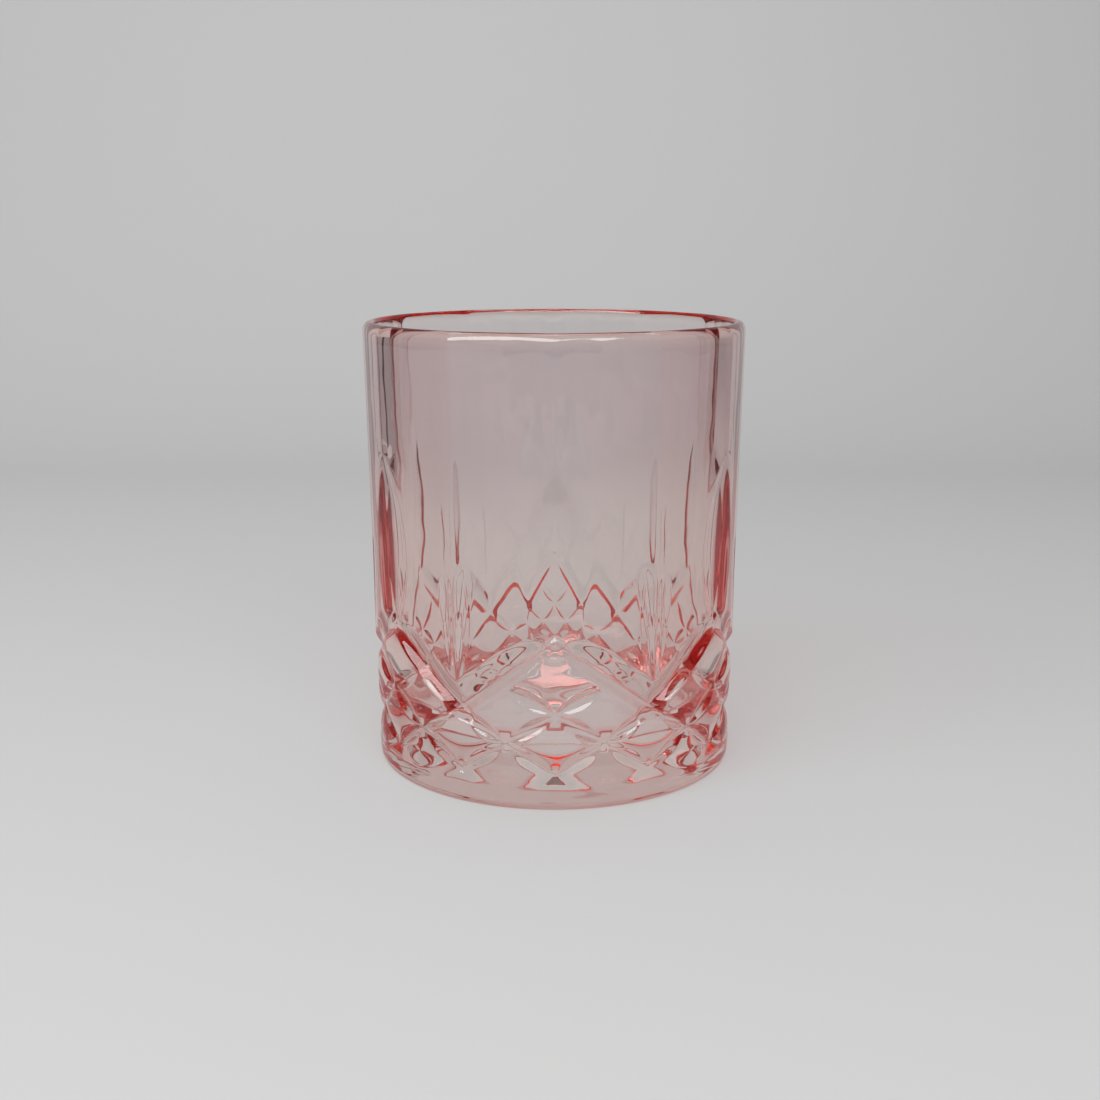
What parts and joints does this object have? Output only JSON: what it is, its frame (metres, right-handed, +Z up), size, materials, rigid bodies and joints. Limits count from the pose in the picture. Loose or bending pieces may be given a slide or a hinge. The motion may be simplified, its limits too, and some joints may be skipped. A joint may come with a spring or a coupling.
{
  "type": "whiskey tumbler",
  "caption": "Straight-sided drinking tumbler in pink pressed glass, with broad panels above and a band of diamond cuts round a thick base.",
  "frame": {"origin": "centre of the foot ring, in the plane the tumbler rests on", "axes": "+Z up along the axis of the cavity, -Y towards one of the six lancet facets"},
  "size_m": [0.0822, 0.0822, 0.0958],
  "materials": {
    "pink_glass": "fire-polished clear pressed glass with a thin transparent pink lustre on the outside"
  },
  "bodies": {
    "root": {"glass_body": "pink_glass"}
  },
  "joints": []
}
